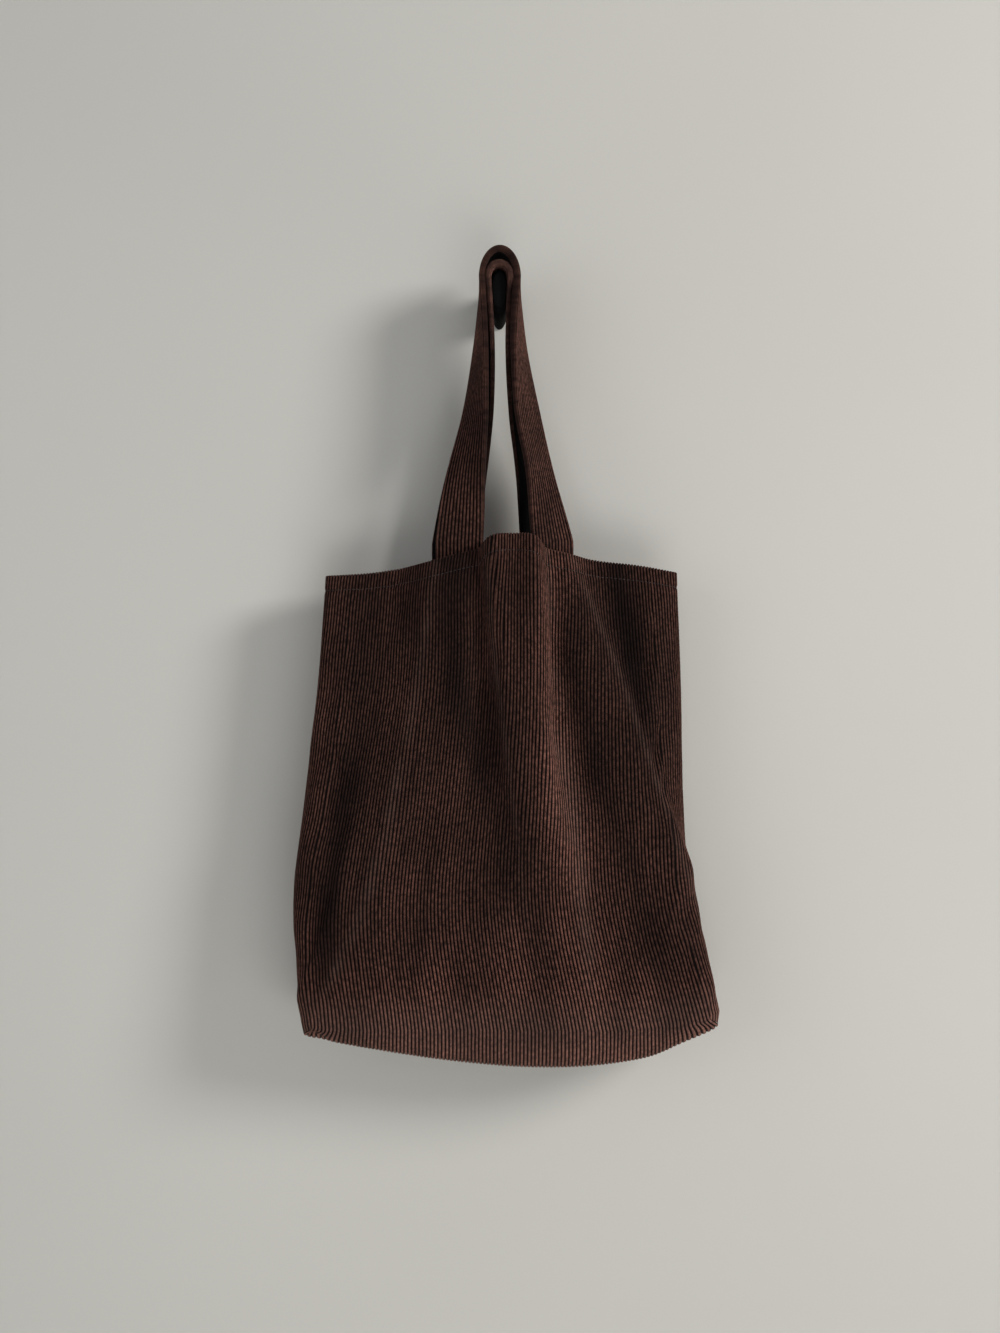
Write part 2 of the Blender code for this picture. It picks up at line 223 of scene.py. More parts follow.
# Sharper creases on the folds: tracks of where each runs and how far it stands out, and its widths
FRONT_CREASES = (
    {
        "x": (0.056, 0.094, 0.126, 0.155, 0.178),
        "rise": (0.001, 0.003, 0.004, 0.004, 0.001),
        "left": 0.020,
        "right": 0.005,
    },
    {
        "x": (-0.050, -0.064, -0.083, -0.109, -0.150),
        "rise": (0.000, 0.002, 0.003, 0.003, 0.001),
        "left": 0.008,
        "right": 0.018,
    },
    {
        "x": (0.033, 0.040, 0.048, 0.062, 0.073),
        "rise": (0.000, 0.001, 0.0015, 0.001, 0.000),
        "left": 0.008,
        "right": 0.008,
    },
    {
        "x": (-0.090, -0.100, -0.112, -0.132, -0.165),
        "rise": (0.0, 0.0, 0.0005, 0.0025, 0.002),
        "left": 0.004,
        "right": 0.008,
    },
    {
        "x": (-0.088, -0.118, -0.145, -0.160, -0.170),
        "rise": (0.001, 0.002, 0.001, 0.0, 0.0),
        "left": 0.006,
        "right": 0.010,
    },
)
BACK_CREASES = (
    {
        "x": (-0.080, -0.092, -0.104, -0.118, -0.140),
        "rise": (0.001, 0.003, 0.004, 0.003, 0.001),
        "left": 0.012,
        "right": 0.024,
    },
    {
        "x": (0.080, 0.095, 0.110, 0.130, 0.150),
        "rise": (0.001, 0.003, 0.003, 0.003, 0.001),
        "left": 0.024,
        "right": 0.012,
    },
)


def track(values, t):
    """The smooth value at t, from 0 at the first of evenly spaced values to 1 at the last."""
    values = np.asarray(values, float)
    padded = np.concatenate([[2 * values[0] - values[1]], values, [2 * values[-1] - values[-2]]])
    place = np.clip(t, 0.0, 1.0) * (len(values) - 1)
    index = np.minimum(np.asarray(place).astype(int), len(values) - 2)
    part = place - index
    before, start, end, after = (padded[index + step] for step in range(4))
    bend = 2 * before - 5 * start + 4 * end - after
    twist = 3 * (start - end) + after - before
    return start + part * ((end - before) + part * (bend + part * twist)) / 2


def section(side, t, inset, fold_share=1.0, steps=1600):
    """Points of one half of the bag's outline, seam to seam, at the height t, moved inwards by inset."""
    angle = np.linspace(0.0, math.pi, steps)
    left = track(LEFT_EDGE, t) + inset
    right = track(RIGHT_EDGE, t) - inset
    power = 2 / track(ROUNDNESS, t)
    depth = track(FRONT_DEPTH if side < 0 else BACK_DEPTH, t) - inset
    across = np.sign(np.cos(angle)) * np.abs(np.cos(angle)) ** power
    x = (left + right) / 2 - (right - left) / 2 * across
    out = depth * np.abs(np.sin(angle)) ** power
    for fold in FRONT_FOLDS if side < 0 else BACK_FOLDS:
        half = track(fold["half"], t) - inset * np.sign(track(fold["rise"], t))
        far = np.abs((x - track(fold["x"], t)) / half)
        out = out + fold_share * track(fold["rise"], t) * np.exp(-(far ** track(fold["flat"], t)))
    return np.column_stack([x, side * (out + SEAM_GAP / 2)])


def along(points, places):
    """Points at these shares of a line's length."""
    steps = np.linalg.norm(np.diff(points, axis=0), axis=1)
    travelled = np.concatenate([[0.0], np.cumsum(steps)])
    at = places * travelled[-1]
    return np.column_stack([np.interp(at, travelled, column) for column in points.T])


def mouth_z(x):
    """The height of the mouth's edge: the handles lift its middle, and the pleat stands a little above it."""
    lift = MOUTH_RISE * np.exp(-(((x - MOUTH_RISE_X) / MOUTH_RISE_SPREAD) ** 2))
    lift = lift + RIGHT_RISE * np.exp(-(((x - RIGHT_RISE_X) / RIGHT_RISE_SPREAD) ** 2))
    far = np.abs((x - PLEAT["x"][0]) / PLEAT["half"][0])
    return MOUTH_Z + lift + PLEAT_LIFT * np.exp(-(far ** PLEAT["flat"][0]))


def base_z(x):
    """The height of the base's edge, which is pulled up a little at its right corner."""
    return BASE_CORNER_Z + BASE_RIGHT_LIFT * smoothstep(x, RIGHT_EDGE[-1] - BASE_LIFT_WIDTH, RIGHT_EDGE[-1])


def down_share(points):
    """How far down the wall points are, 0 at the mouth and 1 at the base."""
    top = mouth_z(points[..., 0])
    return np.clip((top - points[..., 2]) / (top - base_z(points[..., 0])), 0.0, 1.0)


def normals(grid):
    """Unit normals of a grid whose rows run to the right and lie one below the other. They point to +Y."""
    out = np.cross(np.gradient(grid, axis=1), np.gradient(grid, axis=0))
    return out / np.maximum(np.linalg.norm(out, axis=-1, keepdims=True), 1e-12)


def smoothstep(x, low, high):
    part = np.clip((x - low) / (high - low), 0.0, 1.0)
    return part * part * (3 - 2 * part)


def waves(seed, points, scale, count=9):
    """Smooth, seeded noise of about unit size: a sum of waves of about this length."""
    rng = np.random.default_rng(seed)
    total = np.zeros(points.shape[:-1])
    for _ in range(count):
        direction = rng.normal(size=points.shape[-1])
        direction *= 2 * math.pi / (scale * rng.uniform(0.7, 1.8) * np.linalg.norm(direction))
        total += np.sin(points @ direction + rng.uniform(0, 2 * math.pi))
    return total / math.sqrt(count / 2)


# --- meshes ---

def numbered(rows, columns, first=0):
    return np.arange(rows * columns).reshape(rows, columns) + first


def quads(grid):
    corners = grid[:-1, :-1], grid[1:, :-1], grid[1:, 1:], grid[:-1, 1:]
    return np.stack(corners, axis=-1).reshape(-1, 4)


def piece(name, points, faces, material, uv=None, values=None, caps=()):
    """A smooth mesh object. uv is a pair of numbers for each point, values a named number for each point."""
    points = np.asarray(points, float)
    faces = np.asarray(faces, int)
    used, faces = np.unique(faces, return_inverse=True)
    faces = faces.reshape(-1, 4)
    mesh = bpy.data.meshes.new(name)
    mesh.from_pydata(points[used].tolist(), [], faces.tolist() + list(caps))
    if uv is not None:
        layer = mesh.uv_layers.new(name="cloth")
        corners = np.empty(len(mesh.loops), np.int32)
        mesh.loops.foreach_get("vertex_index", corners)
        layer.data.foreach_set("uv", uv[used][corners].astype(np.float32).reshape(-1))
    for key, numbers in (values or {}).items():
        attribute = mesh.attributes.new(key, "FLOAT", "POINT")
        attribute.data.foreach_set("value", numbers[used].astype(np.float32))
    mesh.materials.append(material)
    mesh.shade_smooth()
    made = bpy.data.objects.new(name, mesh)
    bpy.context.scene.collection.objects.link(made)
    return made


# --- materials ---

def new_material(name):
    made = bpy.data.materials.new(name)
    made.use_nodes = True
    tree = made.node_tree
    return made, tree, tree.nodes["Principled BSDF"]


def node(tree, kind, **values):
    """A shader node. A value that is another node's output is linked, and any other is set on the input."""
    made = tree.nodes.new("ShaderNode" + kind)
    inputs = values.pop("inputs", {})
    for key, value in values.items():
        setattr(made, key, value)
    for key, value in inputs.items():
        if isinstance(value, bpy.types.NodeSocket):
            tree.links.new(value, made.inputs[key])
        else:
            made.inputs[key].default_value = value
    return made


def maths(tree, operation, *values):
    made = node(tree, "Math", operation=operation, inputs=dict(enumerate(values)))
    return made.outputs[0]


def remap(tree, value, low, high, to_low=0.0, to_high=1.0):
    made = node(
        tree,
        "MapRange",
        interpolation_type="SMOOTHSTEP",
        inputs={"Value": value, "From Min": low, "From Max": high, "To Min": to_low, "To Max": to_high},
    )
    return made.outputs["Result"]


def blend_colour(tree, factor, first, second, mode="MIX"):
    made = node(tree, "Mix", data_type="RGBA", blend_type=mode)
    for key, value in ((0, factor), (6, first), (7, second)):
        if isinstance(value, bpy.types.NodeSocket):
            tree.links.new(value, made.inputs[key])
        else:
            made.inputs[key].default_value = value
    return made.outputs[2]


def noise(tree, vector, stretch, scale, detail=3.0, roughness=0.55):
    mapping = node(tree, "Mapping", inputs={"Vector": vector, "Scale": stretch})
    made = node(
        tree,
        "TexNoise",
        inputs={
            "Vector": mapping.outputs["Vector"],
            "Scale": scale,
            "Detail": detail,
            "Roughness": roughness,
        },
    )
    return made.outputs["Fac"]


def scaled(tree, colour, share):
    """A colour times a number."""
    made = node(tree, "VectorMath", operation="SCALE", inputs={0: colour[:3], "Scale": share})
    return made.outputs[0]


def corduroy(name, crest=(0.0960, 0.0415, 0.0310, 1.0), groove=(0.0014, 0.0005, 0.0004, 1.0)):
    """Brown corduroy: grooves painted near black for their darker ground weave and for painted shade between
    the wales, pile of uneven tone under painted light and shade, and lighter bands of rubbed pile and painted
    highlight.
    """
    made, tree, shader = new_material(name)
    place = node(tree, "UVMap", uv_map="cloth").outputs["UV"]
    across = node(tree, "SeparateXYZ", inputs={"Vector": place}).outputs["X"]
    centre = maths(tree, "ABSOLUTE", maths(tree, "SUBTRACT", maths(tree, "FRACT", across), 0.5))
    wander = maths(tree, "MULTIPLY", noise(tree, place, (1.0, 1.0, 1.0), 2.6), 0.10)
    edge = maths(tree, "ADD", centre, wander)
    in_groove = remap(tree, edge, 0.22, 0.38)
    patches = noise(tree, place, (1.0, 0.45, 1.0), 0.10, 4.0, 0.6)
    beads = noise(tree, place, (0.9, 1.0, 1.0), 0.85, 3.0, 0.6)
    fibres = noise(tree, place, (3.0, 1.2, 1.0), 4.0, 3.0, 0.7)
    on_patches = remap(tree, patches, 0.3, 0.7, 0.72, 1.28)
    on_beads = remap(tree, beads, 0.3, 0.7, 0.45, 1.55)
    on_fibres = remap(tree, fibres, 0.3, 0.7, 0.8, 1.2)
    lightness = maths(tree, "MULTIPLY", maths(tree, "MULTIPLY", on_patches, on_beads), on_fibres)
    # Painted light and shade: a point attribute that lightens and darkens the pile along the folds and
    # towards the base, and darkens the straps' folded edges
    painted_lightness = node(tree, "Attribute", attribute_name="painted_light").outputs["Fac"]
    pile = scaled(tree, crest, maths(tree, "MULTIPLY", lightness, painted_lightness))
    # The grooves are painted near black: a darker ground weave plus painted shade between the wales
    cloth = blend_colour(tree, in_groove, pile, groove)
    # Bands of lighter pile: partly rubbed pile and partly painted highlight on the fold ridges and the
    # pleat's lit flank, with painted light towards and under the base
    rubbed_and_highlit = node(tree, "Attribute", attribute_name="rubbed_and_highlit").outputs["Fac"]
    rubbed_and_highlit_fibres = remap(tree, fibres, 0.25, 0.75, 0.55, 1.0)
    off_groove = remap(tree, in_groove, 0.0, 1.0, 1.0, 0.25)
    rubbed_and_highlit_mix = maths(tree, "MULTIPLY", rubbed_and_highlit, maths(tree, "MULTIPLY", rubbed_and_highlit_fibres, off_groove))
    # The colour of that lighter pile and painted highlight
    coloured = blend_colour(tree, rubbed_and_highlit_mix, cloth, (0.100, 0.062, 0.050, 1.0))
    tree.links.new(coloured, shader.inputs["Base Color"])
    shader.inputs["Roughness"].default_value = 0.92
    shader.inputs["Specular IOR Level"].default_value = 0.08
    shader.inputs["Sheen Weight"].default_value = 0.08
    shader.inputs["Sheen Roughness"].default_value = 0.45
    shader.inputs["Sheen Tint"].default_value = (0.62, 0.38, 0.31, 1.0)
    height = maths(tree, "ADD", fibres, beads)
    bump = node(tree, "Bump", inputs={"Height": height, "Strength": 0.5, "Distance": 0.0004})
    tree.links.new(bump.outputs["Normal"], shader.inputs["Normal"])
    return made


def cotton(name, colour=(0.0024, 0.0020, 0.0020, 1.0)):
    """Black woven cotton: a fine plain weave with a little lint."""
    made, tree, shader = new_material(name)
    place = node(tree, "UVMap", uv_map="cloth").outputs["UV"]
    parts = node(tree, "SeparateXYZ", inputs={"Vector": place})
    threads = 9.0
    warp = maths(tree, "SINE", maths(tree, "MULTIPLY", parts.outputs["X"], threads * 2 * math.pi))
    weft = maths(tree, "SINE", maths(tree, "MULTIPLY", parts.outputs["Y"], threads * 2 * math.pi))
    weave = maths(tree, "MULTIPLY", warp, weft)
    lint = noise(tree, place, (1.0, 1.0, 1.0), 3.0, 4.0, 0.7)
    on_weave = remap(tree, weave, -1.0, 1.0, 0.7, 1.3)
    light = maths(tree, "ADD", on_weave, remap(tree, lint, 0.66, 0.85, 0.0, 0.8))
    tree.links.new(scaled(tree, colour, light), shader.inputs["Base Color"])
    shader.inputs["Roughness"].default_value = 0.85
    shader.inputs["Specular IOR Level"].default_value = 0.08
    bump = node(tree, "Bump", inputs={"Height": weave, "Strength": 0.4, "Distance": 0.00015})
    tree.links.new(bump.outputs["Normal"], shader.inputs["Normal"])
    return made


def thread(name, colour):
    """Twisted sewing thread."""
    made, tree, shader = new_material(name)
    place = node(tree, "TexCoord").outputs["Object"]
    plies = noise(tree, place, (1.0, 1.0, 0.4), 900.0, 2.0, 0.5)
    light = remap(tree, plies, 0.3, 0.7, 0.7, 1.3)
    tree.links.new(scaled(tree, colour, light), shader.inputs["Base Color"])
    shader.inputs["Roughness"].default_value = 0.6
    return made


def paint(name, colour, one_sided=False):
    """Matt paint. One-sided paint isn't there from behind, so that the bag can be seen from all round."""
    made, tree, shader = new_material(name)
    place = node(tree, "TexCoord").outputs["Object"]
    cloudy = noise(tree, place, (1.0, 1.0, 1.0), 1.5, 2.0, 0.5)
    light = remap(tree, cloudy, 0.2, 0.8, 0.97, 1.03)
    tree.links.new(scaled(tree, colour, light), shader.inputs["Base Color"])
    shader.inputs["Roughness"].default_value = 0.9
    shader.inputs["Specular IOR Level"].default_value = 0.1
    if one_sided:
        behind = node(tree, "NewGeometry").outputs["Backfacing"]
        clear = node(tree, "BsdfTransparent").outputs["BSDF"]
        mixed = node(tree, "MixShader", inputs={0: behind, 1: shader.outputs["BSDF"], 2: clear})
        tree.links.new(mixed.outputs[0], tree.nodes["Material Output"].inputs["Surface"])
    return made


# --- panels ---

# Painted light and shade on the front's pile: how light it is painted down the front, lighter towards and
# under the base, and bands of painted shade and painted light that follow the folds:
# tracks of where each band runs, its half width and what it multiplies the lightness by
PAINTED_LIGHT_LEVEL = (0.36, 0.39, 0.44, 0.50, 0.86)
PAINTED_LIGHT_UNDER = 1.6
# How much of the lighter pile colour is painted towards and under the base: painted light
BASE_PAINTED_LIGHT = 0.40
# The even level of painted light on the back's pile
PAINTED_LIGHT_BACK = 0.50
FRONT_PAINTED_LIGHT = (
    {
        "x": (0.038, 0.038, 0.047, 0.062, 0.080),
        "half": (0.025, 0.014, 0.017, 0.016, 0.018),
        "gain": (2.5, 2.5, 2.5, 1.75, 1.2),
    },
    {
        "x": (-0.038, -0.034, -0.010, 0.008, 0.014),
        "half": (0.018, 0.015, 0.015, 0.014, 0.018),
        "gain": (0.34, 0.42, 0.48, 0.95, 1.0),
    },
    {
        "x": (0.050, 0.058, 0.083, 0.118, 0.136),
        "half": (0.008, 0.009, 0.010, 0.012, 0.012),
        "gain": (0.9, 0.62, 0.62, 0.6, 0.6),
    },
    {
        "x": (0.090, 0.106, 0.124, 0.140, 0.150),
        "half": (0.014, 0.013, 0.008, 0.008, 0.008),
        "gain": (0.36, 0.22, 0.9, 1.0, 1.0),
    },
    {
        "x": (-0.100, -0.112, -0.121, -0.134, -0.145),
        "half": (0.012, 0.013, 0.013, 0.013, 0.012),
        "gain": (0.8, 0.6, 0.42, 0.22, 0.8),
    },
    {
        "x": (-0.130, -0.141, -0.151, -0.158, -0.150),
        "half": (0.009, 0.010, 0.010, 0.010, 0.010),
        "gain": (1.5, 1.5, 1.4, 1.1, 1.0),
    },
)

# Bands of lighter pile on the front, along the fold ridges and the pleat's lit flank, partly rubbed pile and
# partly painted highlight: tracks of where each runs, its half width and how light it is
RUBBED_AND_HIGHLIT = (
    {
        "x": (-0.050, -0.064, -0.083, -0.109, -0.150),
        "half": (0.003, 0.004, 0.005, 0.005, 0.004),
        "light": (0.15, 0.2, 0.3, 0.34, 0.3),
    },
    {
        "x": (0.037, 0.042, 0.051, 0.066, 0.073),
        "half": (0.003, 0.005, 0.010, 0.008, 0.005),
        "light": (0.5, 0.5, 0.5, 0.4, 0.1),
    },
    {
        "x": (-0.011, -0.003, 0.009, 0.020, 0.030),
        "half": (0.0015, 0.0015, 0.002, 0.002, 0.002),
        "light": (0.5, 0.4, 0.3, 0.1, 0.0),
    },
    {
        "x": (0.056, 0.094, 0.126, 0.155, 0.178),
        "half": (0.003, 0.0025, 0.0025, 0.0025, 0.003),
        "light": (0.25, 0.3, 0.3, 0.25, 0.15),
    },
)


def wale_places():
    """Each mesh column's share of the outline, how far it is below a crest, and the wale it is on."""
    corner = corner_share()
    ends = np.concatenate(
        [
            np.linspace(0.0, corner, SIDE_WALES + 1),
            np.linspace(corner, 1 - corner, BASE_WALES + 1)[1:],
            np.linspace(1 - corner, 1.0, SIDE_WALES + 1)[1:],
        ]
    )
    part, depth = np.array(WALE_COLUMNS).T
    places = (ends[:-1, None] + np.diff(ends)[:, None] * part).reshape(-1)
    count = (np.arange(PANEL_WALES)[:, None] + part).reshape(-1)
    depths = np.tile(depth, PANEL_WALES)
    return np.append(places, 1.0), np.append(depths, 1.0), np.append(count, float(PANEL_WALES))


def wall_surface(side, shares, places, inset=0.0, fold_share=1.0):
    """The middle of the cloth of a panel's wall."""
    insets = np.broadcast_to(inset, len(shares))
    fold_shares = np.broadcast_to(fold_share, len(shares))
    rows = []
    for t, in_by, folds in zip(shares, insets, fold_shares):
        flat = along(section(side, t, in_by, folds), places)
        top = mouth_z(flat[:, 0])
        rows.append(np.column_stack([flat, top + (base_z(flat[:, 0]) + in_by - top) * t]))
    return np.array(rows)


def base_surface(side, wall, corner_columns, rows):
    """The rows that turn under the base to its middle seam. It drops the wall's lower corners to suit."""
    bottom = wall[-1].copy()
    seam_y = side * SEAM_GAP / 2
    last = len(bottom) - 1 - corner_columns
    for end in (slice(0, corner_columns + 1), slice(last, None)):
        corner_y = bottom[corner_columns if end.start == 0 else last, 1]
        share = np.clip((bottom[end, 1] - seam_y) / (corner_y - seam_y), 0.0, 1.0)
        drop = np.sqrt(1 - share**2) * BASE_END_SAG
        wall[-1, end, 2] -= drop
    inner = bottom[corner_columns : last + 1]
    spread = np.linspace(-1.0, 1.0, len(inner))
    from_lowest = spread - BASE_SAG_LEAN * (1 - spread**2)
    sag = BASE_END_SAG + (BASE_SAG - BASE_END_SAG) * (1 - from_lowest**2)
    left_side = bottom[: corner_columns + 1]
    right_side = bottom[last:][::-1]
    base = []
    for angle in np.linspace(0.0, math.pi / 2, rows + 1)[1:]:
        row = inner.copy()
        row[:, 1] = seam_y + (inner[:, 1] - seam_y) * math.cos(angle)
        row[:, 2] = inner[:, 2] - sag * math.sin(angle)
        for edge, fade in ((left_side, 0.5 - spread / 2), (right_side, 0.5 + spread / 2)):
            heights = np.abs(edge[:, 1])
            out_by = abs(seam_y + (edge[-1, 1] - seam_y) * math.cos(angle))
            edge_x = np.interp(out_by, heights, edge[:, 0])
            row[:, 0] += (edge_x - edge[-1, 0]) * smoothstep(fade, 0.9, 1.0)
        base.append(row)
    return np.array(base)


def rubbed_and_highlit_share(points):
    """How light the pile is painted at each point of the front's middle surface: partly rubbed pile, partly
    painted highlight.
    """
    t = down_share(points)
    light = np.zeros(points.shape[:-1])
    for band in RUBBED_AND_HIGHLIT:
        far = (points[..., 0] - track(band["x"], t)) / track(band["half"], t)
        light = np.maximum(light, track(band["light"], t) * np.exp(-(far**2)))
    patchy = 0.75 + 0.25 * waves(5, points, 0.02)
    return np.clip(light * patchy, 0.0, 1.0)


def painted_light_share(side, wall, base_rows):
    """The painted light and shade on the points of a wall, and on those of the rows under the base."""
    t = down_share(wall)
    light = track(PAINTED_LIGHT_LEVEL, t) if side < 0 else np.full(wall.shape[:2], PAINTED_LIGHT_BACK)
    for band in FRONT_PAINTED_LIGHT if side < 0 else ():
        far = (wall[..., 0] - track(band["x"], t)) / track(band["half"], t)
        light = light * (1 + (track(band["gain"], t) - 1) * np.exp(-(far**2)))
    light = light * (1 + 0.10 * waves(51 + side, wall * (1.0, 1.0, 0.4), 0.045))
    under = PAINTED_LIGHT_UNDER if side < 0 else PAINTED_LIGHT_BACK
    turn = smoothstep(np.linspace(0.0, 1.0, base_rows + 1)[1:, None], 0.0, 0.5)
    return light, light[-1] + (under - light[-1]) * turn


def corner_share():
    return BASE_DEPTH / 2 / (BASE_LENGTH + BASE_DEPTH)


def wall_depths():
    """How far below the mouth the wall's rows stand: closer together in the hem and just above the base."""
    wall_length = MOUTH_Z - BASE_CORNER_Z
    hem = [LIP_RADIUS, 0.003, 0.0055, 0.008, 0.010, 0.0111, HEM_DEPTH, 0.0129, 0.0145]
    wall = np.linspace(hem[-1], wall_length - SEAM_ROLL, WALL_ROWS - len(hem))[1:]
    return np.concatenate([hem, wall, [wall_length]])


def every(step, count):
    """Every so many of the numbers below count, and the last of them."""
    return np.unique(np.append(np.arange(0, count, step), count - 1))


def sag(whole):
    """How far each point of a panel moves when its cloth is let hang for a moment."""
    rows = every(4, len(whole))
    columns = every(2 * len(WALE_COLUMNS), whole.shape[1])
    coarse = whole[np.ix_(rows, columns)]
    moved = let_hang(coarse) - coarse
    length = np.linalg.norm(moved, axis=-1, keepdims=True)
    moved *= SAG_CAP * np.tanh(length / SAG_CAP) / np.maximum(length, 1e-9)
    return spread_out(moved, rows, columns, whole.shape[:2])


def let_hang(grid):
    """Where a grid of points comes to when it hangs as cloth that is held at its seams and mouth."""
    mesh = bpy.data.meshes.new("sag")
    mesh.from_pydata(grid.reshape(-1, 3).tolist(), [], quads(numbered(*grid.shape[:2])).tolist())
    cloth = bpy.data.objects.new("sag", mesh)
    bpy.context.scene.collection.objects.link(cloth)
    edge = np.ones(grid.shape[:2], bool)
    edge[1:-1, 1:-1] = False
    held = cloth.vertex_groups.new(name="held")
    held.add(np.flatnonzero(edge).tolist(), 1.0, "REPLACE")
    modifier = cloth.modifiers.new("sag", "CLOTH")
    settings = modifier.settings
    settings.quality = 6
    settings.mass = 0.35
    settings.tension_stiffness = settings.compression_stiffness = 12.0
    settings.shear_stiffness = 6.0
    settings.bending_stiffness = 3.0
    settings.air_damping = 4.0
    settings.vertex_group_mass = "held"
    settings.shrink_min = -CLOTH_EASE
    settings.shrink_max = -CLOTH_EASE
    modifier.collision_settings.use_collision = False
    scene = bpy.context.scene
    for frame_number in range(1, SAG_FRAMES + 1):
        scene.frame_set(frame_number)
    evaluated = cloth.evaluated_get(bpy.context.evaluated_depsgraph_get())
    hung = np.empty(grid.size, np.float32)
    evaluated.data.vertices.foreach_get("co", hung)
    scene.frame_set(1)
    bpy.data.objects.remove(cloth)
    return hung.reshape(grid.shape)


def spread_out(coarse, rows, columns, shape):
    """Values known at some rows and columns of a grid, filled in smoothly over all of it."""
    filled = []
    for values in np.moveaxis(coarse, -1, 0):
        tall = np.array([smooth_line(rows, column, shape[0]) for column in values.T])
        filled.append([smooth_line(columns, row, shape[1]) for row in tall.T])
    return np.stack(filled, axis=-1)


def smooth_line(knots, values, count):
    """A Catmull-Rom curve through values at these knots, read at 0, 1, 2, up to count - 1."""
    slope = np.gradient(values, knots)
    x = np.arange(count)
    index = np.clip(np.searchsorted(knots, x, side="right") - 1, 0, len(knots) - 2)
    width = knots[index + 1] - knots[index]
    t = (x - knots[index]) / width
    start, end = values[index], values[index + 1]
    return (
        (2 * t**3 - 3 * t**2 + 1) * start
        + (t**3 - 2 * t**2 + t) * width * slope[index]
        + (3 * t**2 - 2 * t**3) * end
        + (t**3 - t**2) * width * slope[index + 1]
    )


def crease_out(side, points):
    """How far the sharper creases stand out of the smooth folds, along the panel's normal."""
    t = down_share(points)
    total = np.zeros(points.shape[:-1])
    for crease in FRONT_CREASES if side < 0 else BACK_CREASES:
        far = points[..., 0] - track(crease["x"], t)
        width = np.where(far < 0, crease["left"], crease["right"])
        total += track(crease["rise"], t) * np.exp(-((far / width) ** 2))
    return total


def soft_unevenness(side, points):
    """Small dents and ripples of handled cloth."""
    rng_seed = 11 if side < 0 else 12
    stretched = points * np.array([1.0, 1.0, 0.45])
    dents = DENT_DEPTH * waves(rng_seed, stretched, DENT_LENGTH)
    return dents + RIPPLE_DEPTH * waves(rng_seed + 10, stretched, RIPPLE_LENGTH)


def panel_normals(side, wall, base, inner):
    """The ways out of a panel's wall and of its half base."""
    whole = np.concatenate([wall[:, inner], base])
    return side * normals(wall), side * normals(whole)[len(wall) :]


def panel_middle(side, places, below, inner):
    """The middle of a panel's cloth, wall and half base, with its creases and after it has sagged."""
    corner = inner.start
    wall = wall_surface(side, below / (MOUTH_Z - BASE_CORNER_Z), places)
    base = base_surface(side, wall, corner, BASE_ROWS)
    out_wall, out_base = panel_normals(side, wall, base, inner)
    height_fade = (smoothstep(below, 0.0, 0.03) * smoothstep(below[-1] - below, 0.0, 0.02))[:, None]
    unevenness = crease_out(side, wall) + soft_unevenness(side, wall)
    shift = unevenness * edge_fade(places) * (0.35 + 0.65 * height_fade)
    shift[-1, :corner] = shift[-1, -corner:] = 0.0
    wall = wall + out_wall * shift[..., None]
    base_fade = np.linspace(1.0, 0.0, len(base) + 1)[1:, None]
    base_shift = base_fade * shift[-1, inner] * edge_fade(places[inner], 0.02)
    base = base + out_base * base_shift[..., None]
    hang = sag(np.concatenate([wall[:, inner], base]))
    wall[:, inner] += hang[: len(wall)]
    base += hang[len(wall) :]
    return wall, base


def wall_face(wall, out, places, depths, below, light, corner):
    """The outer face of a wall: its wales, the dent of the hem's seam, and flat edges at its seams."""
    relief = WALE_DEPTH * (1 - 0.35 * light) * (1 + 0.12 * waves(21, wall * (1, 1, 0.5), 0.012))
    hem_dent = HEM_DENT * np.exp(-(((below - HEM_DEPTH) / HEM_DENT_WIDTH) ** 2))[:, None]
    offset = (CREST_HEIGHT - hem_dent - relief * depths) * edge_ramp(places)
    offset[-1, :corner] = offset[-1, -corner:] = 0.0
    return wall + out * offset[..., None]


def base_face(base, out, places, depths):
    """The outer face of a half base, with its wales."""
    ramp = edge_ramp(places, places[0]) * np.append(np.ones(len(base) - 1), 0.0)[:, None]
    offset = (CREST_HEIGHT - WALE_DEPTH * depths) * ramp
    return base + out * offset[..., None]


def lip(wall, out, depths):
    """The rows of a panel behind its hem, from the hem's seam up and over the mouth's edge."""
    radius = (LIP_RADIUS + 0.2 * WALE_DEPTH - 0.8 * WALE_DEPTH * depths)[:, None]
    rows = [wall[index] - out[index] * radius for index in (HEM_ROW, HEM_ROW // 2, 0)]
    for angle in np.radians((150.0, 120.0, 90.0, 60.0, 30.0)):
        rise = np.array([0.0, 0.0, math.sin(angle)])
        rows.append(wall[0] + radius * (out[0] * math.cos(angle) + rise))
    return np.array(rows)


def side_faces(side, wall, base, inner):
    """The faces of a wall and of the half base joined to its lower edge, turned outwards."""
    wall_numbers = numbered(*wall.shape[:2])
    base_numbers = numbered(*base.shape[:2], wall_numbers.size)
    joined = np.vstack([wall_numbers[-1:, inner], base_numbers])
    faces = np.concatenate([quads(wall_numbers), quads(joined)])
    return faces[:, ::-1] if side > 0 else faces


def side_uv(across, down, base_rows, inner):
    """Where the points of a wall and of its half base are on their flat cloth, in widths of a wale."""
    under = down[-1] + np.linspace(0.0, BASE_RUN, base_rows + 1)[1:]
    wall = np.stack(np.broadcast_arrays(across, down[:, None] / WALE_PITCH), axis=-1)
    base = np.stack(np.broadcast_arrays(across[inner], under[:, None] / WALE_PITCH), axis=-1)
    return in_one((wall, base), 2)


def in_one(grids, width=1):
    """The points or numbers of several grids as one list."""
    joined = np.concatenate([grid.reshape(-1, width) for grid in grids])
    return joined if width > 1 else joined.reshape(-1)


